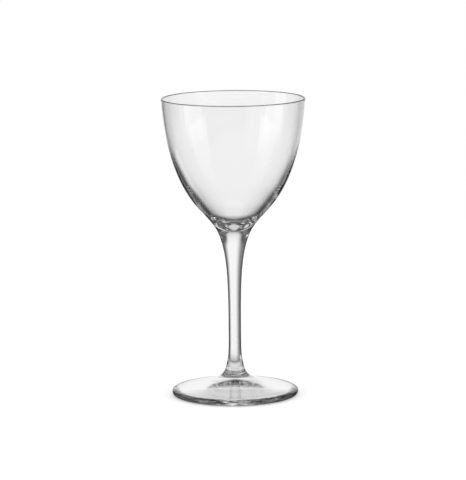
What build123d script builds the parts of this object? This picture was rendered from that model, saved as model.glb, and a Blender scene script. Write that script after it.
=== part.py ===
from build123d import *
import os
from math import cos, radians, sin

# Small stemmed cocktail glass in clear glass, made of three gathers that are formed apart and fused hot:
# a blown bowl, a drawn stem and a pressed foot. Each is turned about +Z, and they meet on flat discs.
# The origin is on the table, at the middle of the foot. Lengths are in millimetres and angles in degrees.
# A lean is measured from upright, and is positive where the glass opens upwards.
# A pull is the length of a curve's handle as a share of the curve's chord.
# The hollow of the bowl has a knee, which faces the outer side at knee_place, a share of that side's length.
# At the knee the wall is side_wall thick, and wall_taper is the angle between its two faces.

# Foot
foot_diameter = 63.5
foot_edge = 3.0
foot_height = 13.05
foot_slope = 10.0
foot_ring_width = 2.4
foot_edge_pull = 0.45
foot_collar_pull = 0.24

# Foot, hollow underside
foot_hollow = 5.0
foot_hollow_slope = 7.0
foot_hollow_top_pull = 0.1
foot_hollow_ring_pull = 0.6

# Stem
stem_length = 70.0
stem_waist_diameter = 6.24
stem_waist_height = 20.0
collar_diameter = 9.56
collar_lean = -16.0
neck_diameter = 17.1
neck_lean = 26.0
stem_collar_pull = 0.29
stem_waist_lower_pull = 0.55
stem_waist_upper_pull = 0.48
stem_neck_pull = 0.23

# Bowl, outside
bowl_height = 66.5
rim_diameter = 72.0
rim_lean = 4.0
shoulder_diameter = 33.6
shoulder_height = 10.3
shoulder_lean = 43.5
bowl_neck_pull = 0.25
bowl_under_pull = 0.30
bowl_side_pull = 0.24
bowl_rim_pull = 0.49

# Bowl, hollow
rim_wall = 1.15
side_wall = 1.83
wall_taper = 2.5
bowl_floor = 1.2
knee_place = 0.3
hollow_rim_pull = 0.436
hollow_knee_pull = 0.3
hollow_side_pull = 0.42
hollow_floor_pull = 0.11

# Heights of the joints and of the rim
foot_joint = foot_height
bowl_joint = foot_joint + stem_length
rim_top = bowl_joint + bowl_height


def point(radius, height):
    """A point of a half outline, in the XZ plane."""
    return Vector(radius, 0, height)


def upward(lean):
    """The unit direction that goes up and leans outwards by an angle from upright."""
    return Vector(sin(radians(lean)), 0, cos(radians(lean)))


def inward(slope):
    """The unit direction that goes in towards the axis and rises by an angle from level."""
    return Vector(-cos(radians(slope)), 0, sin(radians(slope)))


def sweep(start, start_way, start_pull, end, end_way, end_pull):
    """A curve that leaves start along start_way and reaches end along end_way."""
    chord = (end - start).length
    return Bezier(start, start + start_way * chord * start_pull, end - end_way * chord * end_pull, end)


def turned(*outline):
    """The solid that a closed half outline makes when it is turned about +Z."""
    return revolve(make_face(outline), Axis.Z)


def make_foot():
    """A round foot with a rounded edge, an underside hollow to a soft peak and a collar flaring up to the stem."""
    edge_radius = foot_edge / 2
    ring_outer = foot_diameter / 2 - edge_radius
    ring_inner = ring_outer - foot_ring_width
    edge_under = point(ring_outer, 0)
    edge_side = point(foot_diameter / 2, edge_radius)
    edge_over = point(ring_outer, foot_edge)
    collar = point(collar_diameter / 2, foot_joint)
    hollow_top = point(0, foot_hollow)
    ring = Line(point(ring_inner, 0), edge_under)
    edge = ThreePointArc(edge_under, edge_side, edge_over)
    upper = sweep(edge_over, inward(foot_slope), foot_edge_pull, collar, upward(collar_lean), foot_collar_pull)
    joint = Line(collar, point(0, foot_joint))
    middle = Line(point(0, foot_joint), hollow_top)
    hollow = sweep(point(ring_inner, 0), inward(foot_hollow_slope), foot_hollow_ring_pull,
                   hollow_top, inward(0), foot_hollow_top_pull)
    return turned(ring, edge, upper, joint, middle, hollow)


def make_stem():
    """A solid stem that draws in from the collar to its waist and flares out to the bowl."""
    collar = point(collar_diameter / 2, foot_joint)
    waist = point(stem_waist_diameter / 2, foot_joint + stem_waist_height)
    neck = point(neck_diameter / 2, bowl_joint)
    lower = sweep(collar, upward(collar_lean), stem_collar_pull, waist, upward(0), stem_waist_lower_pull)
    upper = sweep(waist, upward(0), stem_waist_upper_pull, neck, upward(neck_lean), stem_neck_pull)
    top = Line(neck, point(0, bowl_joint))
    middle = Line(point(0, bowl_joint), point(0, foot_joint))
    bottom = Line(point(0, foot_joint), collar)
    return turned(lower, upper, top, middle, bottom)


def make_bowl():
    """A thin bowl with a rounded rim, whose wall thickens towards a solid floor over the stem."""
    rim_radius = rim_wall / 2
    neck = point(neck_diameter / 2, bowl_joint)
    shoulder = point(shoulder_diameter / 2, bowl_joint + shoulder_height)
    rim_outer = point(rim_diameter / 2, rim_top - rim_radius)
    rim_crown = point(rim_diameter / 2 - rim_radius, rim_top)
    rim_inner = point(rim_diameter / 2 - rim_wall, rim_top - rim_radius)
    floor = point(0, bowl_joint + bowl_floor)
    under = sweep(neck, upward(neck_lean), bowl_neck_pull, shoulder, upward(shoulder_lean), bowl_under_pull)
    side = sweep(shoulder, upward(shoulder_lean), bowl_side_pull, rim_outer, upward(rim_lean), bowl_rim_pull)
    rim = ThreePointArc(rim_outer, rim_crown, rim_inner)
    side_way = side % knee_place
    inwards = Vector(-side_way.Z, 0, side_way.X)
    knee = side @ knee_place + inwards * side_wall
    down_the_rim = -upward(rim_lean)
    down_the_side = -side_way.rotate(Axis.Y, wall_taper)
    hollow_side = sweep(rim_inner, down_the_rim, hollow_rim_pull, knee, down_the_side, hollow_knee_pull)
    hollow_floor = sweep(knee, down_the_side, hollow_side_pull, floor, inward(0), hollow_floor_pull)
    middle = Line(floor, point(0, bowl_joint))
    bottom = Line(point(0, bowl_joint), neck)
    return turned(under, side, rim, hollow_side, hollow_floor, middle, bottom)


os.makedirs("parts", exist_ok=True)
export_step(make_foot(), "parts/foot.step")
export_step(make_stem(), "parts/stem.step")
export_step(make_bowl(), "parts/bowl.step")
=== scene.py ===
"""Stemmed cocktail glass: a blown bowl, a drawn stem and a pressed foot in clear fused glass."""
import math

import bpy
import numpy as np
from mathutils import Matrix, Vector


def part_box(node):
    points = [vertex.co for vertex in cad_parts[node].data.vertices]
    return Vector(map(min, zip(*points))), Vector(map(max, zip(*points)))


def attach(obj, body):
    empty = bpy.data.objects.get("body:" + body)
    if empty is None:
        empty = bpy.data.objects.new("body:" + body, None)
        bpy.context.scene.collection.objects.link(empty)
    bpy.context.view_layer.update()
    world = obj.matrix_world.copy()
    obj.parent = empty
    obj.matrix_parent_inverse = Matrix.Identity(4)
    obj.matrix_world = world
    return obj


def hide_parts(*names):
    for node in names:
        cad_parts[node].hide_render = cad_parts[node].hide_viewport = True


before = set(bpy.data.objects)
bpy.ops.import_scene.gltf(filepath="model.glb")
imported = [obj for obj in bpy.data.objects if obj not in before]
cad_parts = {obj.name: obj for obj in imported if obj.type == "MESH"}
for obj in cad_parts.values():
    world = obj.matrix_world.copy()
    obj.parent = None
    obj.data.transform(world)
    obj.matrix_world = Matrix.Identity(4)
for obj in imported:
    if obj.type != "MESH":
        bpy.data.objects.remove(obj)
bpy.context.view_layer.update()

bl_info = {
    "name": "Stemmed Cocktail Glass",
    "version": (1, 0, 0),
    "blender": (4, 5, 0),
    "location": "View3D > Sidebar > Glass",
    "description": "Makes a small stemmed cocktail glass and lights it in a white studio",
    "category": "Add Mesh",
}

MM = 0.001
BODY = "root"
WHITE = (1.0, 1.0, 1.0, 1.0)

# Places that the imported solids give
FOOT_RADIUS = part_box("foot")[1][0]
FOOT_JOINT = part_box("foot")[1][2]
NECK_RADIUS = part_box("stem")[1][0]
BOWL_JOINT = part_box("bowl")[0][2]
RIM_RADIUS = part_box("bowl")[1][0]
RIM_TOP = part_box("bowl")[1][2]

# Fineness of the turned surfaces
AROUND = 240
LONG_CURVE = 108
SHORT_CURVE = 48
ROUND_EDGE = 24
DISC_RINGS = 6
LENGTH_STEPS = 2001

# A height and a radius, in metres, that the glass never reaches
BEYOND = 1.0

# Places around the glass, in degrees: a heading is 0 straight behind it and a rise is 0 on the level.
# A field has a middle, an even half width and a soft margin. A ramp goes from its first to its second value.
HALO_FIELD = (0, 22, 30)
HIGH_RAMP = (8, 18)
SHADE_RAMP = (5, 45)
CEILING_RAMP = (55, 85)
SIDE_FIELD = (85, 25, 12)
SIDE_RISE_FIELD = (10, 12, 10)
MIRRORED_HIGH_FIELD = (0, 12, 28)
MIRRORED_HIGH_RAMP = (-5, 8)
MIRRORED_BACK_FIELD = (0, 12, 8)
FLAG_FIELD = (38, 15, 8)
FLAG_TOP_RAMP = (5, 20)
MIRRORED_TABLE_RAMP = (40, 65)
TABLE_EDGE_RAMP = (-20, -10)

# White fields behind the glass where it is looked at from other sides.
# Each has its field of headings, the ramp of rises at its bottom and the one at its top.
OTHER_SIDES = (
    ((-45, 7, 5), (-53, -31), (-22, -19.5)),
    ((-93, 9, 7), (-30, -8), (2, 20)),
    ((135, 16, 12), (-42, -20), (-10, 8)),
)

# Flat sheets lie this far under the table's level, and light is followed through this many surfaces
FLOOR_DROP = 0.3 * MM
SHADED_TABLE_DROP = 0.8 * MM
BOUNCES = 32


def length(name, description, default):
    """A size in metres that a user may change."""
    return bpy.props.FloatProperty(
        name=name, description=description, default=default, unit="LENGTH", precision=5)


def angle(name, description, degrees):
    """An angle that a user may change, kept in radians and written here in degrees."""
    return bpy.props.FloatProperty(
        name=name, description=description, default=math.radians(degrees), subtype="ANGLE")


def share(name, description, default):
    """A plain number, mostly from 0 to 1, that a user may change."""
    return bpy.props.FloatProperty(name=name, description=description, default=default)


def tint(name, description, grey):
    """A colour that a user may change, written here as a grey."""
    return bpy.props.FloatVectorProperty(
        name=name, description=description, default=(grey, grey, grey), subtype="COLOR")


class FootSizes(bpy.types.PropertyGroup):
    """Sizes of the pressed foot."""
    radius: length("Radius", "From the axis to the outermost edge", FOOT_RADIUS)
    joint: length("Joint height", "Height of the joint with the stem", FOOT_JOINT)
    edge: length("Edge thickness", "Thickness of the rounded edge", 3.0 * MM)
    ring: length("Ring width", "Width of the flat ring that stands on the table", 2.4 * MM)
    hollow: length("Hollow depth", "Depth of the hollow under the foot", 5.0 * MM)
    hollow_slope: angle("Hollow slope", "Slope of the hollow at the ring", 7.0)
    hollow_top_pull: share("Hollow top pull", "Handle at the top of the hollow, as a share of the chord", 0.1)
    hollow_ring_pull: share("Hollow ring pull", "Handle at the ring, as a share of the hollow's chord", 0.6)
    slope: angle("Slope", "Rise of the upper face at the edge", 10.0)
    edge_pull: share("Edge pull", "Handle at the edge, as a share of the upper curve's chord", 0.45)
    collar_pull: share("Collar pull", "Handle at the collar, as a share of the upper curve's chord", 0.24)


class StemSizes(bpy.types.PropertyGroup):
    """Sizes of the drawn stem."""
    collar_radius: length("Collar radius", "Radius of the joint with the foot", 4.78 * MM)
    collar_lean: angle("Collar lean", "Lean of the side at the foot", -16.0)
    waist_radius: length("Waist radius", "Radius at the narrowest place", 3.12 * MM)
    waist_height: length("Waist height", "Height of the narrowest place above the foot's joint", 20.0 * MM)
    neck_radius: length("Neck radius", "Radius of the joint with the bowl", NECK_RADIUS)
    neck_lean: angle("Neck lean", "Lean of the side at the bowl", 26.0)
    collar_pull: share("Collar pull", "Handle at the collar, as a share of the chord", 0.29)
    waist_lower_pull: share("Lower waist pull", "Handle below the waist, as a share of the chord", 0.55)
    waist_upper_pull: share("Upper waist pull", "Handle above the waist, as a share of the chord", 0.48)
    neck_pull: share("Neck pull", "Handle at the neck, as a share of the chord", 0.23)


class BowlSizes(bpy.types.PropertyGroup):
    """Sizes of the blown bowl."""
    joint: length("Joint height", "Height of the joint with the stem", BOWL_JOINT)
    rim_top: length("Rim height", "Height of the rim above the table", RIM_TOP)
    rim_radius: length("Rim radius", "Outer radius just under the rim", RIM_RADIUS)
    rim_lean: angle("Rim lean", "Lean of the wall at the rim", 4.0)
    shoulder_radius: length("Shoulder radius", "Outer radius where the curve turns over", 16.8 * MM)
    shoulder_height: length("Shoulder height", "Height above the joint where the curve turns over", 10.3 * MM)
    shoulder_lean: angle("Shoulder lean", "Lean of the wall where the curve turns over", 43.5)
    neck_pull: share("Neck pull", "Handle at the neck, as a share of the chord", 0.25)
    under_pull: share("Under pull", "Handle below the shoulder, as a share of the chord", 0.30)
    side_pull: share("Side pull", "Handle above the shoulder, as a share of the chord", 0.24)
    rim_pull: share("Rim pull", "Handle at the rim, as a share of the chord", 0.49)
    rim_wall: length("Rim wall", "Thickness of the wall at the rim", 1.15 * MM)
    side_wall: length("Side wall", "Thickness of the wall at the knee of the hollow", 1.83 * MM)
    wall_taper: angle("Wall taper", "Angle between the two faces of the wall at the knee", 2.5)
    knee_place: share("Knee place", "Place of the knee along the outer side, as a share of its length", 0.3)
    floor: length("Floor", "Thickness of the floor over the joint", 1.2 * MM)
    hollow_rim_pull: share("Hollow rim pull", "Handle inside the rim, as a share of the chord", 0.436)
    hollow_knee_pull: share("Hollow knee pull", "Handle above the knee, as a share of the chord", 0.3)
    hollow_side_pull: share("Hollow side pull", "Handle below the knee, as a share of the chord", 0.42)
    hollow_floor_pull: share("Hollow floor pull", "Handle at the floor, as a share of the chord", 0.11)


class GlassFinish(bpy.types.PropertyGroup):
    """The finish of the clear glass."""
    ior: share("Refraction", "Refractive index of the glass", 1.52)
    body_colour: tint("Body colour", "Colour of the glass seen face on", 1.0)
    # Painted shade: the edge colour darkens the glass where it is seen at a glance, in place of the dark
    # outline that its surroundings give its edges. The shares and heights below say where, for each piece.
    painted_edge_shade: tint("Edge colour", "Colour of the glass seen edge on", 0.22)
    bowl_edge_start: share("Bowl edge start", "Glance at which the bowl begins to take its edge colour", 0.6)
    bowl_edge_full: share("Bowl edge full", "Glance at which the bowl has its edge colour", 0.8)
    bowl_fade_low: length("Bowl fade low", "Height where the bowl's edge colour begins to fade", 108.0 * MM)
    bowl_fade_high: length("Bowl fade high", "Height where the bowl's edge colour is gone", 130.0 * MM)
    stem_edge_start: share("Stem edge start", "Glance at which the stem begins to take its edge colour", 0.55)
    stem_edge_full: share("Stem edge full", "Glance at which the stem has its edge colour", 0.85)
    foot_edge_start: share("Foot edge start", "Glance at which the foot begins to take its edge colour", 0.97)
    foot_edge_full: share("Foot edge full", "Glance at which the foot has its edge colour", 1.0)
    ripple: length("Ripple", "Height of the faint ripple that the mould leaves", 0.002 * MM)
    ripple_size: length("Ripple size", "Distance between ripples", 14.0 * MM)
    haze: share("Haze", "Highest roughness of the polished surface", 0.012)
    haze_scale: share("Haze scale", "Smears of haze in a metre", 60.0)
    wave: length("Wave", "Height of the waves on the pressed edge of the foot", 0.3 * MM)
    wave_size: length("Wave size", "Length of the waves along the edge of the foot", 7.0 * MM)
    wave_squeeze: share("Wave squeeze", "How many times longer than high each wave is", 7.0)
    wave_margin: length("Wave margin", "Width over which the waves set in", 1.5 * MM)
    # Painted shade on the pressed edge of the foot: dark streaks on its waves, in place of the dark that the
    # rounded, wavy edge bends in from its surroundings. The waves themselves are real relief, by bump.
    painted_streak_shade: tint("Wave colour", "Colour of the darkest waves", 0.03)
    streak_shade_average: share("Wave tint", "How much of that colour the edge of the foot takes on average", 0.5)
    streak_shade_spread: share("Wave streak", "How much that share changes between the waves", 1.0)
    streak_low: share("Streak low", "Part of a wave's height below which a streak is clear", 0.4)
    streak_high: share("Streak high", "Part of a wave's height above which a streak is dark", 0.6)


class StudioSettings(bpy.types.PropertyGroup):
    """The camera and the white studio."""
    camera_distance: length("Camera distance", "From the middle of the glass to the camera", 1.52)
    camera_rise: angle("Camera rise", "Angle of the camera above the level", 9.2)
    camera_roll: angle("Camera roll", "Turn of the camera about its line of sight", -0.45)
    lens: share("Lens", "Focal length in millimetres", 227.9)
    middle: length("Middle", "Height of the middle of the glass", 74.05 * MM)
    aim_up: length("Aim up", "How far above the middle the camera aims", 4.1 * MM)
    aim_side: length("Aim side", "How far to the right of the middle the camera aims", -0.57 * MM)
    floor_radius: length("Floor radius", "Radius of the pale floor", 0.6)
    floor_colour: tint("Floor colour", "Colour of the pale floor", 0.8)
    floor_lift: share("Floor lift", "Brightness that the floor has of itself for the camera", 0.3)
    lamp: share("Lamp", "Brightness of the soft lamps", 1.4)
    lamp_side: length("Lamp side", "How far to the side of the glass each soft lamp stands", 0.74)
    lamp_front: length("Lamp front", "How far in front of the glass each soft lamp stands", 0.3)
    lamp_height: length("Lamp height", "Height of the middle of each soft lamp, and of its aim", 0.135)
    lamp_wide: length("Lamp width", "Width of each soft lamp's face", 0.48)
    lamp_tall: length("Lamp length", "Upright length of each soft lamp's face", 0.87)
    lamp_fade: share("Lamp fade", "Share of the face, from its lower end, over which it dims to nothing", 0.3)


class SurroundSettings(bpy.types.PropertyGroup):
    """What the glass sees around it."""
    dim: share("Dim", "Brightness of the dim surroundings seen through the glass", 0.05)
    back: share("Back", "Brightness of the white back seen through the glass", 0.96)
    back_turn: angle("Back turn", "How far to the right of the glass the middle of the white back lies", 7.0)
    back_half: angle("Back half", "Half width of the even part of the white back", 11.0)
    back_soft: angle("Back soft", "Width over which the white back fades out", 32.0)
    high_half: angle("High half", "Half width of the white back's upper part", 14.0)
    high_soft: angle("High softness", "Width over which its upper part fades", 16.0)
    shade: share("Shade", "How much the white back dims upwards", 0.5)
    ceiling: share("Ceiling", "How much more it dims overhead", 0.4)
    table_near: angle("Table near", "How far below the level the white table begins to dim", -12.0)
    table_end: angle("Table end", "How far below the level the white table ends", -34.0)
    halo: share("Halo", "Brightness of the faint glow beside the white back", 0.25)
    sides: share("Sides", "Brightness of the lit side walls seen through the glass", 0.12)
    under_foot: share("Under foot", "Brightness of the shaded table seen through the foot", 0.68)
    under_foot_radius: length("Under foot radius", "Radius of that shaded table", 34.0 * MM)
    under_foot_even: share("Under foot even", "Share of that radius over which it is even", 0.7)
    strip: share("Strip", "Brightness of the tall strip lamps beside the bowl, seen through the glass", 0.9)
    strip_turn: angle("Strip turn", "Turn of each strip lamp about the glass, from straight behind it", 110.0)
    strip_half: angle("Strip half", "Half of the angle that each strip lamp fills", 19.0)
    strip_distance: length("Strip distance", "From the axis of the glass to each strip lamp", 0.35)
    strip_low: length("Strip low", "Height of the lower end of each strip lamp", 0.19)
    strip_high: length("Strip high", "Height of the upper end of each strip lamp", 0.6)
    window: share("Window", "Brightness of the other windows that the glass is seen against", 0.9)
    mirror: share("Mirror", "Brightness of the room mirrored in the glass", 0.5)
    mirror_back: share("Mirror back", "Brightness of the white back mirrored in the glass", 0.95)
    mirror_flag: share("Mirror flag", "Brightness of the dark flags mirrored in the glass", 0.06)
    mirror_table: share("Mirror table", "Brightness of the table mirrored in the glass", 0.9)
    scatter: share("Scatter", "Brightness of the room for light that the floor scatters", 0.9)


def group(kind, name, description):
    """A group of settings within the settings of the glass."""
    return bpy.props.PointerProperty(type=kind, name=name, description=description)


class GlassSettings(bpy.types.PropertyGroup):
    """Everything about the glass that a user would change."""
    foot: group(FootSizes, "Foot", "Sizes of the foot")
    stem: group(StemSizes, "Stem", "Sizes of the stem")
    bowl: group(BowlSizes, "Bowl", "Sizes of the bowl")
    finish: group(GlassFinish, "Finish", "Finish of the glass")
    studio: group(StudioSettings, "Studio", "Camera and studio")
    surround: group(SurroundSettings, "Surround", "What the glass sees")


def place(radius, height):
    """A point of a half outline, as radius from the axis and height above the table."""
    return np.array([radius, height])


def upward(lean):
    """The unit direction that goes up and leans outwards by an angle from upright."""
    return np.array([math.sin(lean), math.cos(lean)])


def inward(slope):
    """The unit direction that goes in towards the axis and rises by an angle from level."""
    return np.array([-math.cos(slope), math.sin(slope)])


def handles(start, start_way, start_pull, end, end_way, end_pull):
    """The four control points of a curve that leaves start along start_way and reaches end along end_way.
    Each handle is the chord's length times its pull."""
    chord = np.linalg.norm(end - start)
    return np.array([start, start + start_way * chord * start_pull, end - end_way * chord * end_pull, end])


def curve(control, count):
    """Points of a cubic curve with control points A, B, C and D, for count values of t from 0 to 1:
    (1-t)^3 A + 3t(1-t)^2 B + 3t^2(1-t) C + t^3 D."""
    t = np.linspace(0, 1, count)[:, None]
    weights = np.hstack([(1 - t) ** 3, 3 * t * (1 - t) ** 2, 3 * t ** 2 * (1 - t), t ** 3])
    return weights @ control


def curve_place(control, share_of_length):
    """The point of a cubic curve at a share of its length, and its unit direction there.
    The share gives t by interpolating along the summed lengths of short chords, and the point follows by
    dividing each handle at t, then the lines between those points."""
    points = curve(control, LENGTH_STEPS)
    run = np.concatenate([[0], np.cumsum(np.linalg.norm(np.diff(points, axis=0), axis=1))])
    t = np.interp(share_of_length * run[-1], run, np.linspace(0, 1, len(run)))
    first = control[:-1] + (control[1:] - control[:-1]) * t
    second = first[:-1] + (first[1:] - first[:-1]) * t
    way = second[1] - second[0]
    return second[0] + way * t, way / np.linalg.norm(way)


def arc(centre, radius, start, end, count):
    """Points of a circle's arc, from one angle to another, measured from the outward direction."""
    turn = np.linspace(start, end, count)
    return centre + radius * np.stack([np.cos(turn), np.sin(turn)], 1)


def line(start, end, count):
    """Evenly spaced points of a straight line."""
    return start + (end - start) * np.linspace(0, 1, count)[:, None]


def joined(*stretches):
    """One outline from stretches that each start where the last one ended."""
    return np.concatenate([stretches[0]] + [stretch[1:] for stretch in stretches[1:]])


def turned_piece(name, outline, disc_rows, finishes):
    """A closed piece turned about +Z from an outline that starts and ends on the axis.
    The vertex at row i and column j is (r_i cos a_j, r_i sin a_j, z_i), with one vertex at each pole.
    disc_rows marks the rows whose faces lie on a fused joint, which takes the second finish."""
    rows = len(outline) - 2
    turn = np.linspace(0, 2 * np.pi, AROUND, endpoint=False)
    ring = outline[1:-1]
    grid = np.stack([
        ring[:, :1] * np.cos(turn),
        ring[:, :1] * np.sin(turn),
        np.broadcast_to(ring[:, 1:], (rows, AROUND)),
    ], 2).reshape(-1, 3)
    poles = np.array([[0, 0, outline[0, 1]], [0, 0, outline[-1, 1]]])
    vertices = np.concatenate([grid, poles])
    index = np.arange(rows * AROUND).reshape(rows, AROUND)
    onward = np.roll(index, -1, 1)
    quads = np.stack([index[:-1], onward[:-1], onward[1:], index[1:]], 2).reshape(-1, 4)
    first = np.stack([np.full(AROUND, rows * AROUND), onward[0], index[0]], 1)
    last = np.stack([np.full(AROUND, rows * AROUND + 1), index[-1], onward[-1]], 1)
    mesh = bpy.data.meshes.new(name)
    mesh.from_pydata(vertices.tolist(), [], first.tolist() + quads.tolist() + last.tolist())
    mesh.polygons.foreach_set("use_smooth", np.ones(len(mesh.polygons), bool))
    on_joint = np.repeat(disc_rows.astype(np.int32), AROUND)
    mesh.polygons.foreach_set("material_index", on_joint)
    mark_joint_edges(mesh, disc_rows)
    for finish in finishes:
        mesh.materials.append(finish)
    mesh.update()
    mesh.validate()
    piece = bpy.data.objects.new(name, mesh)
    bpy.context.scene.collection.objects.link(piece)
    return piece


def mark_joint_edges(mesh, disc_rows):
    """Marks as sharp each ring of edges where a joint's disc meets the side of the piece."""
    ends = np.empty(len(mesh.edges) * 2, np.int32)
    mesh.edges.foreach_get("vertices", ends)
    row = ends.reshape(-1, 2) // AROUND
    corner_rows = np.flatnonzero(np.diff(disc_rows.astype(int)))
    sharp = (row[:, 0] == row[:, 1]) & np.isin(row[:, 0], corner_rows)
    mesh.edges.foreach_set("use_edge_sharp", sharp)


def bowl_outline(bowl, stem):
    """Outline of the bowl, from the middle of its joint up the outside, over the rim and down to its floor.
    Each stretch is a straight line, a cubic curve or the half circle of the rim."""
    neck = place(stem.neck_radius, bowl.joint)
    shoulder = place(bowl.shoulder_radius, bowl.joint + bowl.shoulder_height)
    bead = bowl.rim_wall / 2
    rim = place(bowl.rim_radius, bowl.rim_top - bead)
    rim_inside = place(bowl.rim_radius - bowl.rim_wall, bowl.rim_top - bead)
    floor = place(0, bowl.joint + bowl.floor)
    under = handles(neck, upward(stem.neck_lean), bowl.neck_pull,
                    shoulder, upward(bowl.shoulder_lean), bowl.under_pull)
    side = handles(shoulder, upward(bowl.shoulder_lean), bowl.side_pull,
                   rim, upward(bowl.rim_lean), bowl.rim_pull)
    facing, side_way = curve_place(side, bowl.knee_place)
    knee = facing + bowl.side_wall * np.array([-side_way[1], side_way[0]])
    knee_way = upward(math.atan2(side_way[0], side_way[1]) + bowl.wall_taper)
    hollow_side = handles(rim_inside, -upward(bowl.rim_lean), bowl.hollow_rim_pull,
                          knee, -knee_way, bowl.hollow_knee_pull)
    hollow_floor = handles(knee, -knee_way, bowl.hollow_side_pull,
                           floor, inward(0), bowl.hollow_floor_pull)
    disc = line(place(0, bowl.joint), neck, DISC_RINGS)
    outline = joined(
        disc,
        curve(under, SHORT_CURVE),
        curve(side, LONG_CURVE),
        arc(place(bowl.rim_radius - bead, bowl.rim_top - bead), bead, 0, math.pi, ROUND_EDGE),
        curve(hollow_side, LONG_CURVE),
        curve(hollow_floor, LONG_CURVE),
    )
    disc_rows = np.arange(len(outline) - 1) < DISC_RINGS - 1
    return outline, disc_rows


def stem_outline(stem, foot, bowl):
    """Outline of the stem, from the middle of its lower joint, up the side and in to its upper joint."""
    collar = place(stem.collar_radius, foot.joint)
    waist = place(stem.waist_radius, foot.joint + stem.waist_height)
    neck = place(stem.neck_radius, bowl.joint)
    lower = handles(collar, upward(stem.collar_lean), stem.collar_pull,
                    waist, upward(0), stem.waist_lower_pull)
    upper = handles(waist, upward(0), stem.waist_upper_pull,
                    neck, upward(stem.neck_lean), stem.neck_pull)
    outline = joined(
        line(place(0, foot.joint), collar, DISC_RINGS),
        curve(lower, SHORT_CURVE),
        curve(upper, LONG_CURVE),
        line(neck, place(0, bowl.joint), DISC_RINGS),
    )
    step = np.arange(len(outline) - 1)
    disc_rows = (step < DISC_RINGS - 1) | (step >= len(outline) - DISC_RINGS)
    return outline, disc_rows


def foot_outline(foot, stem):
    """Outline of the foot, from the middle of its hollow, round the edge and up the collar to its joint."""
    bead = foot.edge / 2
    ring_outer = foot.radius - bead
    ring_inner = ring_outer - foot.ring
    edge_over = place(ring_outer, foot.edge)
    collar = place(stem.collar_radius, foot.joint)
    hollow = handles(place(0, foot.hollow), -inward(0), foot.hollow_top_pull,
                     place(ring_inner, 0), -inward(foot.hollow_slope), foot.hollow_ring_pull)
    upper = handles(edge_over, inward(foot.slope), foot.edge_pull,
                    collar, upward(stem.collar_lean), foot.collar_pull)
    outline = joined(
        curve(hollow, LONG_CURVE),
        line(place(ring_inner, 0), place(ring_outer, 0), DISC_RINGS),
        arc(place(ring_outer, bead), bead, -math.pi / 2, math.pi / 2, ROUND_EDGE * 2),
        curve(upper, LONG_CURVE),
        line(collar, place(0, foot.joint), DISC_RINGS),
    )
    disc_rows = np.arange(len(outline) - 1) >= len(outline) - DISC_RINGS
    return outline, disc_rows


class Wire:
    """A socket of a node tree, so that shader maths reads as arithmetic on values."""

    def __init__(self, socket):
        self.socket = socket
        self.tree = socket.id_data

    def maths(self, operation, first, second):
        """A Math node on two values or links."""
        return node(self.tree, "ShaderNodeMath", {"operation": operation}, {0: first, 1: second})

    def __add__(self, other):
        return self.maths("ADD", self, other)

    def __radd__(self, other):
        return self.maths("ADD", other, self)

    def __sub__(self, other):
        return self.maths("SUBTRACT", self, other)

    def __rsub__(self, other):
        return self.maths("SUBTRACT", other, self)

    def __mul__(self, other):
        return self.maths("MULTIPLY", self, other)

    def __rmul__(self, other):
        return self.maths("MULTIPLY", other, self)


def node(tree, kind, settings=None, sockets=None, output=0):
    """A node of any type: its settings are set first, then the values or links of its sockets.
    Gives one of its outputs, or nothing where it has none."""
    made = tree.nodes.new(kind)
    for name, value in (settings or {}).items():
        setattr(made, name, value)
    for name, value in (sockets or {}).items():
        if isinstance(value, Wire):
            tree.links.new(value.socket, made.inputs[name])
        else:
            made.inputs[name].default_value = value
    return Wire(made.outputs[output]) if made.outputs else None


def opaque(colour):
    """A colour with its alpha, as a node's socket takes it."""
    return (*colour, 1.0)


def smooth_step(value, low, high):
    """0 below low, 1 above high, and a smooth ramp between."""
    return node(value.tree, "ShaderNodeMapRange", {"interpolation_type": "SMOOTHSTEP"},
                {"Value": value, "From Min": low, "From Max": high})


def larger(first, second):
    """The larger of two numbers."""
    return node(first.tree, "ShaderNodeMath", {"operation": "MAXIMUM"}, {0: first, 1: second})


def new_material(name):
    """A new material and its empty node tree."""
    material = bpy.data.materials.new(name)
    material.use_nodes = True
    tree = material.node_tree
    tree.nodes.clear()
    return material, tree


def end_shader(tree, shader):
    """Links a finished shader to the output of its material."""
    node(tree, "ShaderNodeOutputMaterial", {}, {"Surface": shader})


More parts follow.
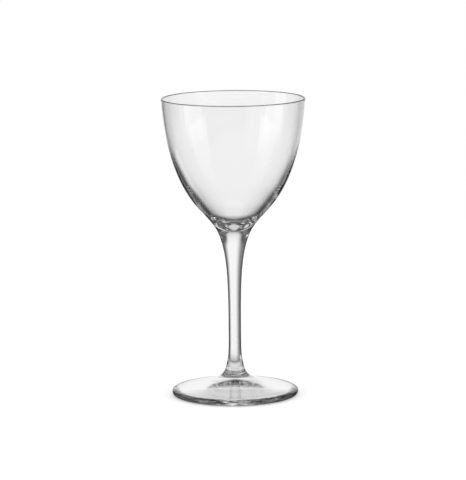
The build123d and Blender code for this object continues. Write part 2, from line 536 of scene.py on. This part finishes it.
def glass_finish(name, finish, edge_start, edge_full,
                 fade_low=BEYOND, fade_high=2 * BEYOND, wavy_from=BEYOND):
    """Clear polished glass: a faint ripple, a trace of haze, and painted shade: an edge colour where it is
    seen at a glance.
    That painted edge shade stands in for the dark outline that its surroundings give it, and fades out
    upwards between two heights, where the glass gets thin. Outside the radius wavy_from the surface has low
    waves, long along the edge, with painted shade on them: dark streaks in place of the dark that the wavy
    edge bends in."""
    material, tree = new_material(name)
    spot = node(tree, "ShaderNodeTexCoord", output="Object")
    flat = node(tree, "ShaderNodeVectorMath", {"operation": "MULTIPLY"}, {
        0: spot, 1: (1.0, 1.0, 0.0)}, "Vector")
    reach = node(tree, "ShaderNodeVectorMath", {"operation": "LENGTH"}, {0: flat}, "Value")
    wavy = smooth_step(reach, wavy_from, wavy_from + finish.wave_margin)
    squeezed = node(tree, "ShaderNodeVectorMath", {"operation": "MULTIPLY"}, {
        0: spot, 1: (1.0, 1.0, finish.wave_squeeze)}, "Vector")
    waves = node(tree, "ShaderNodeTexNoise", {}, {
        "Vector": squeezed, "Scale": 1 / finish.wave_size, "Detail": 2.0, "Roughness": 0.5}, "Fac")
    ripple = node(tree, "ShaderNodeTexNoise", {}, {
        "Vector": spot, "Scale": 1 / finish.ripple_size, "Detail": 1.0, "Roughness": 0.4}, "Fac")
    smear = node(tree, "ShaderNodeTexNoise", {}, {
        "Vector": spot, "Scale": finish.haze_scale, "Detail": 3.0, "Roughness": 0.6}, "Fac")
    facing = node(tree, "ShaderNodeLayerWeight", {}, {"Blend": 0.5}, "Facing")
    height = node(tree, "ShaderNodeSeparateXYZ", {}, {0: spot}, "Z")
    # Painted shade: how much of the dark edge colour the glass takes, by how glancing the surface is, faded
    # out up the thin bowl; the mix below lays it over the glass colour.
    edge_shade_share = smooth_step(facing, edge_start, edge_full) * (1 - smooth_step(height, fade_low, fade_high))
    plain = node(tree, "ShaderNodeMix", {"data_type": "RGBA"}, {
        "Factor": edge_shade_share, "A": opaque(finish.body_colour), "B": opaque(finish.painted_edge_shade)}, "Result")
    # Painted shade: dark streaks on the crests of the foot's waves, mixed over the glass colour.
    crest = smooth_step(waves, finish.streak_low, finish.streak_high)
    streak = finish.streak_shade_average + finish.streak_shade_spread * (crest - 0.5)
    colour = node(tree, "ShaderNodeMix", {"data_type": "RGBA"}, {
        "Factor": wavy * streak, "A": plain, "B": opaque(finish.painted_streak_shade)}, "Result")
    relief = ripple * finish.ripple + waves * wavy * finish.wave
    bump = node(tree, "ShaderNodeBump", {}, {"Strength": 1.0, "Distance": 1.0, "Height": relief})
    shader = node(tree, "ShaderNodeBsdfPrincipled", {}, {
        "Base Color": colour,
        "Roughness": smear * finish.haze,
        "IOR": finish.ior,
        "Transmission Weight": 1.0,
        "Normal": bump,
    })
    end_shader(tree, shader)
    return material


def joint_finish(name):
    """A fused joint inside the glass, which light passes as if there were nothing."""
    material, tree = new_material(name)
    shader = node(tree, "ShaderNodeBsdfPrincipled", {}, {"Base Color": WHITE, "Alpha": 0.0})
    end_shader(tree, shader)
    return material


def glass_settings():
    """The settings of the glass in the open scene."""
    return bpy.context.scene.cocktail_glass


def seat(piece, solid):
    """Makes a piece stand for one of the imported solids."""
    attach(piece, BODY)
    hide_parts(solid)


class GLASS_OT_blow_bowl(bpy.types.Operator):
    """Makes the thin bowl with its rounded rim and solid floor"""
    bl_idname = "glass.blow_bowl"
    bl_label = "Blow Bowl"

    def execute(self, context):
        made = glass_settings()
        outline, disc_rows = bowl_outline(made.bowl, made.stem)
        finish = made.finish
        glass = glass_finish("bowl_glass", finish, finish.bowl_edge_start, finish.bowl_edge_full,
                             fade_low=finish.bowl_fade_low, fade_high=finish.bowl_fade_high)
        bowl = turned_piece("bowl_glass", outline, disc_rows, [glass, joint_finish("bowl_joint")])
        seat(bowl, "bowl")
        return {"FINISHED"}


class GLASS_OT_draw_stem(bpy.types.Operator):
    """Makes the solid stem with its narrow waist"""
    bl_idname = "glass.draw_stem"
    bl_label = "Draw Stem"

    def execute(self, context):
        made = glass_settings()
        outline, disc_rows = stem_outline(made.stem, made.foot, made.bowl)
        finish = made.finish
        glass = glass_finish("stem_glass", finish, finish.stem_edge_start, finish.stem_edge_full)
        stem = turned_piece("stem_glass", outline, disc_rows, [glass, joint_finish("stem_joint")])
        seat(stem, "stem")
        return {"FINISHED"}


class GLASS_OT_press_foot(bpy.types.Operator):
    """Makes the round foot with its collar and hollow underside"""
    bl_idname = "glass.press_foot"
    bl_label = "Press Foot"

    def execute(self, context):
        made = glass_settings()
        outline, disc_rows = foot_outline(made.foot, made.stem)
        finish = made.finish
        glass = glass_finish("foot_glass", finish, finish.foot_edge_start, finish.foot_edge_full,
                             wavy_from=made.foot.radius - made.foot.edge)
        foot = turned_piece("foot_glass", outline, disc_rows, [glass, joint_finish("foot_joint")])
        seat(foot, "foot")
        return {"FINISHED"}


def window(value, centre, half, soft):
    """1 where a value is within half of a centre, falling smoothly to 0 over a soft margin."""
    off = node(value.tree, "ShaderNodeMath", {"operation": "ABSOLUTE"}, {0: value - centre})
    return 1 - smooth_step(off, half, half + soft)


def mix(low, high, share_of_high):
    """A number between low and high, by the share of high."""
    return low + (high - low) * share_of_high


def field(value, places):
    """A window on an angle, from its middle, even half width and soft margin in degrees."""
    return window(value, *np.radians(places).tolist())


def ramp(value, ends):
    """A smooth step of an angle between two ends in degrees."""
    return smooth_step(value, *np.radians(ends).tolist())


def seen_through(around, heading, aside, rise):
    """What rays that leave the glass see: a white back that fades into dim surroundings and is narrower high
    up, lit side walls, and smaller white fields where the glass is looked at from other sides."""
    sheet = larger(window(heading, around.back_turn, around.back_half, around.back_soft),
                   around.halo * field(aside, HALO_FIELD))
    narrow = window(aside, 0, around.high_half, around.high_soft)
    sheet = sheet * mix(1, narrow, ramp(rise, HIGH_RAMP))
    top = 1 - around.shade * ramp(rise, SHADE_RAMP) - around.ceiling * ramp(rise, CEILING_RAMP)
    back = around.back * sheet * top * smooth_step(rise, around.table_end, around.table_near)
    sides = around.sides * field(aside, SIDE_FIELD) * field(rise, SIDE_RISE_FIELD)
    others = around.window * sum(
        field(heading, turn) * ramp(rise, bottom) * (1 - ramp(rise, end))
        for turn, bottom, end in OTHER_SIDES)
    return mix(around.dim, 1, larger(larger(back, sides), others))


def seen_mirrored(around, aside, rise):
    """What the glass mirrors: a room with a white back and dark flags beside it, over a pale table."""
    behind = larger(field(aside, MIRRORED_HIGH_FIELD) * ramp(rise, MIRRORED_HIGH_RAMP),
                    field(aside, MIRRORED_BACK_FIELD))
    flags = field(aside, FLAG_FIELD) * (1 - ramp(rise, FLAG_TOP_RAMP))
    over = mix(mix(around.mirror, around.mirror_flag, flags), around.mirror_back, behind)
    table = around.mirror_table * ramp(aside, MIRRORED_TABLE_RAMP)
    return mix(table, over, ramp(rise, TABLE_EDGE_RAMP))


def make_world(around):
    """White to the camera, and for the glass what it sees through itself and what it mirrors.
    A ray through the glass counts as glossy and as transmitted, so the mirrored ones are the difference."""
    world = bpy.data.worlds.new("white_studio")
    bpy.context.scene.world = world
    world.use_nodes = True
    tree = world.node_tree
    tree.nodes.clear()
    way = node(tree, "ShaderNodeTexCoord", output="Generated")
    x, y, z = (node(tree, "ShaderNodeSeparateXYZ", {}, {0: way}, axis) for axis in "XYZ")
    heading = node(tree, "ShaderNodeMath", {"operation": "ARCTAN2"}, {0: x, 1: y})
    rise = node(tree, "ShaderNodeMath", {"operation": "ARCSINE"}, {0: z})
    aside = node(tree, "ShaderNodeMath", {"operation": "ABSOLUTE"}, {0: heading})
    camera = node(tree, "ShaderNodeLightPath", output="Is Camera Ray")
    bent = node(tree, "ShaderNodeLightPath", output="Is Glossy Ray")
    passed = node(tree, "ShaderNodeLightPath", output="Is Transmission Ray")
    mirrored = bent - passed
    scattered = 1 - camera - bent
    through = seen_through(around, heading, aside, rise)
    room = seen_mirrored(around, aside, rise)
    strength = camera + passed * through + mirrored * room + scattered * around.scatter
    shader = node(tree, "ShaderNodeBackground", {}, {"Color": WHITE, "Strength": strength})
    node(tree, "ShaderNodeOutputWorld", {}, {"Surface": shader})


def disc(name, radius, height, material):
    """A flat round sheet for the stage."""
    turn = np.linspace(0, 2 * np.pi, AROUND, endpoint=False)
    edge = radius * np.stack([np.cos(turn), np.sin(turn), np.zeros(AROUND)], 1)
    mesh = bpy.data.meshes.new(name)
    mesh.from_pydata(edge.tolist(), [], [list(range(AROUND))])
    mesh.materials.append(material)
    sheet = bpy.data.objects.new(name, mesh)
    sheet.location.z = height
    bpy.context.scene.collection.objects.link(sheet)
    return sheet


def make_floor(studio):
    """A pale floor that keeps the shadow, which only the camera and scattered light see."""
    material, tree = new_material("pale_floor")
    camera = node(tree, "ShaderNodeLightPath", output="Is Camera Ray")
    matt = node(tree, "ShaderNodeBsdfDiffuse", {}, {"Color": opaque(studio.floor_colour)})
    lift = node(tree, "ShaderNodeEmission", {}, {"Color": WHITE, "Strength": camera * studio.floor_lift})
    end_shader(tree, node(tree, "ShaderNodeAddShader", {}, {0: matt, 1: lift}))
    floor = disc("pale_floor", studio.floor_radius, -FLOOR_DROP, material)
    floor.visible_glossy = False
    floor.visible_transmission = False


def show_through_glass_only(sheet):
    """Lets only rays that leave the glass see a sheet of the stage."""
    sheet.visible_camera = False
    sheet.visible_diffuse = False
    sheet.visible_glossy = False
    sheet.visible_shadow = False


def make_shaded_table(around):
    """The shaded table close under the foot, which only rays leaving the glass see.
    It is even in the middle and clears smoothly to its edge."""
    material, tree = new_material("shaded_table")
    spot = node(tree, "ShaderNodeTexCoord", output="Object")
    reach = node(tree, "ShaderNodeVectorMath", {"operation": "LENGTH"}, {0: spot}, "Value")
    grey = node(tree, "ShaderNodeEmission", {}, {"Color": WHITE, "Strength": around.under_foot})
    clear = node(tree, "ShaderNodeBsdfTransparent")
    edge = smooth_step(reach, around.under_foot_even * around.under_foot_radius, around.under_foot_radius)
    end_shader(tree, node(tree, "ShaderNodeMixShader", {}, {0: edge, 1: grey, 2: clear}))
    sheet = disc("shaded_table", around.under_foot_radius, -SHADED_TABLE_DROP, material)
    show_through_glass_only(sheet)


def soft_lamp(side, studio):
    """A tall soft lamp beside the glass that faces it, given by the radiance of its face.
    The lowest share of its height dims smoothly to nothing."""
    data = bpy.data.lights.new("soft_lamp", "AREA")
    data.shape = "RECTANGLE"
    data.size = studio.lamp_wide
    data.size_y = studio.lamp_tall
    data.energy = studio.lamp * math.pi * studio.lamp_wide * studio.lamp_tall
    data.use_nodes = True
    tree = data.node_tree
    tree.nodes.clear()
    place_on_face = node(tree, "ShaderNodeNewGeometry", output="Parametric")
    up_the_face = node(tree, "ShaderNodeSeparateXYZ", {}, {0: place_on_face}, "Y")
    glow = node(tree, "ShaderNodeEmission", {}, {"Strength": smooth_step(up_the_face, 0, studio.lamp_fade)})
    node(tree, "ShaderNodeOutputLight", {}, {"Surface": glow})
    lamp = bpy.data.objects.new("soft_lamp", data)
    spot = Vector((side * studio.lamp_side, -studio.lamp_front, studio.lamp_height))
    aim = Vector((0, 0, studio.lamp_height))
    lamp.location = spot
    lamp.rotation_euler = (aim - spot).to_track_quat("-Z", "Y").to_euler()
    lamp.visible_camera = False
    lamp.visible_transmission = False
    bpy.context.scene.collection.objects.link(lamp)


def strip_lamp(side, around):
    """A tall upright sheet beside the bowl that only rays leaving the glass see.
    It glows less towards its top."""
    material, tree = new_material("strip_lamp")
    spot = node(tree, "ShaderNodeTexCoord", output="Object")
    height = node(tree, "ShaderNodeSeparateXYZ", {}, {0: spot}, "Z")
    glow = around.strip * (1 - smooth_step(height, around.strip_low, around.strip_high))
    end_shader(tree, node(tree, "ShaderNodeEmission", {}, {"Color": WHITE, "Strength": glow}))
    across = np.array([side * math.cos(around.strip_turn), -math.sin(around.strip_turn), 0])
    outward = np.array([side * math.sin(around.strip_turn), math.cos(around.strip_turn), 0])
    middle = outward * around.strip_distance
    half = across * around.strip_distance * math.tan(around.strip_half)
    low = np.array([0, 0, around.strip_low])
    high = np.array([0, 0, around.strip_high])
    corners = [middle - half + low, middle + half + low, middle + half + high, middle - half + high]
    mesh = bpy.data.meshes.new("strip_lamp")
    mesh.from_pydata([corner.tolist() for corner in corners], [], [[0, 1, 2, 3]])
    mesh.materials.append(material)
    sheet = bpy.data.objects.new("strip_lamp", mesh)
    show_through_glass_only(sheet)
    bpy.context.scene.collection.objects.link(sheet)


def make_camera(studio):
    """The camera at the photograph's place, a little above the rim and turned by a trace."""
    data = bpy.data.cameras.new("camera")
    data.lens = studio.lens
    camera = bpy.data.objects.new("camera", data)
    rise = studio.camera_rise
    back = Vector((0, -math.cos(rise), math.sin(rise))) * studio.camera_distance
    spot = Vector((0, 0, studio.middle)) + back
    aim = Vector((studio.aim_side, 0, studio.middle + studio.aim_up))
    turned = (aim - spot).to_track_quat("-Z", "Y").to_matrix().to_4x4()
    camera.matrix_world = Matrix.Translation(spot) @ turned @ Matrix.Rotation(studio.camera_roll, 4, "Z")
    bpy.context.scene.collection.objects.link(camera)
    bpy.context.scene.camera = camera


class GLASS_OT_set_stage(bpy.types.Operator):
    """Sets the white studio, its soft lamps and the camera"""
    bl_idname = "glass.set_stage"
    bl_label = "Set Stage"

    def execute(self, context):
        studio = glass_settings().studio
        around = glass_settings().surround
        make_world(around)
        make_floor(studio)
        make_shaded_table(around)
        for side in (-1, 1):
            soft_lamp(side, studio)
            strip_lamp(side, around)
        make_camera(studio)
        scene = context.scene
        scene.view_settings.view_transform = "Standard"
        scene.cycles.max_bounces = BOUNCES
        scene.cycles.transmission_bounces = BOUNCES
        scene.cycles.glossy_bounces = BOUNCES
        scene.cycles.transparent_max_bounces = BOUNCES
        return {"FINISHED"}


class GLASS_PT_maker(bpy.types.Panel):
    """Lists the steps that make the glass"""
    bl_idname = "GLASS_PT_maker"
    bl_label = "Cocktail Glass"
    bl_space_type = "VIEW_3D"
    bl_region_type = "UI"
    bl_category = "Glass"

    def draw(self, context):
        for step in STEPS:
            self.layout.operator(step.bl_idname)


GROUPS = (FootSizes, StemSizes, BowlSizes, GlassFinish, StudioSettings, SurroundSettings, GlassSettings)
STEPS = (GLASS_OT_blow_bowl, GLASS_OT_draw_stem, GLASS_OT_press_foot, GLASS_OT_set_stage)
CLASSES = (*GROUPS, *STEPS, GLASS_PT_maker)


def register():
    """Adds the classes and the scene's settings."""
    for each in CLASSES:
        bpy.utils.register_class(each)
    bpy.types.Scene.cocktail_glass = bpy.props.PointerProperty(type=GlassSettings)


def unregister():
    """Takes away the scene's settings and the classes."""
    del bpy.types.Scene.cocktail_glass
    for each in reversed(CLASSES):
        bpy.utils.unregister_class(each)


def main():
    """Makes the glass and its stage."""
    register()
    bpy.ops.glass.blow_bowl()
    bpy.ops.glass.draw_stem()
    bpy.ops.glass.press_foot()
    bpy.ops.glass.set_stage()


if __name__ == "__main__":
    main()
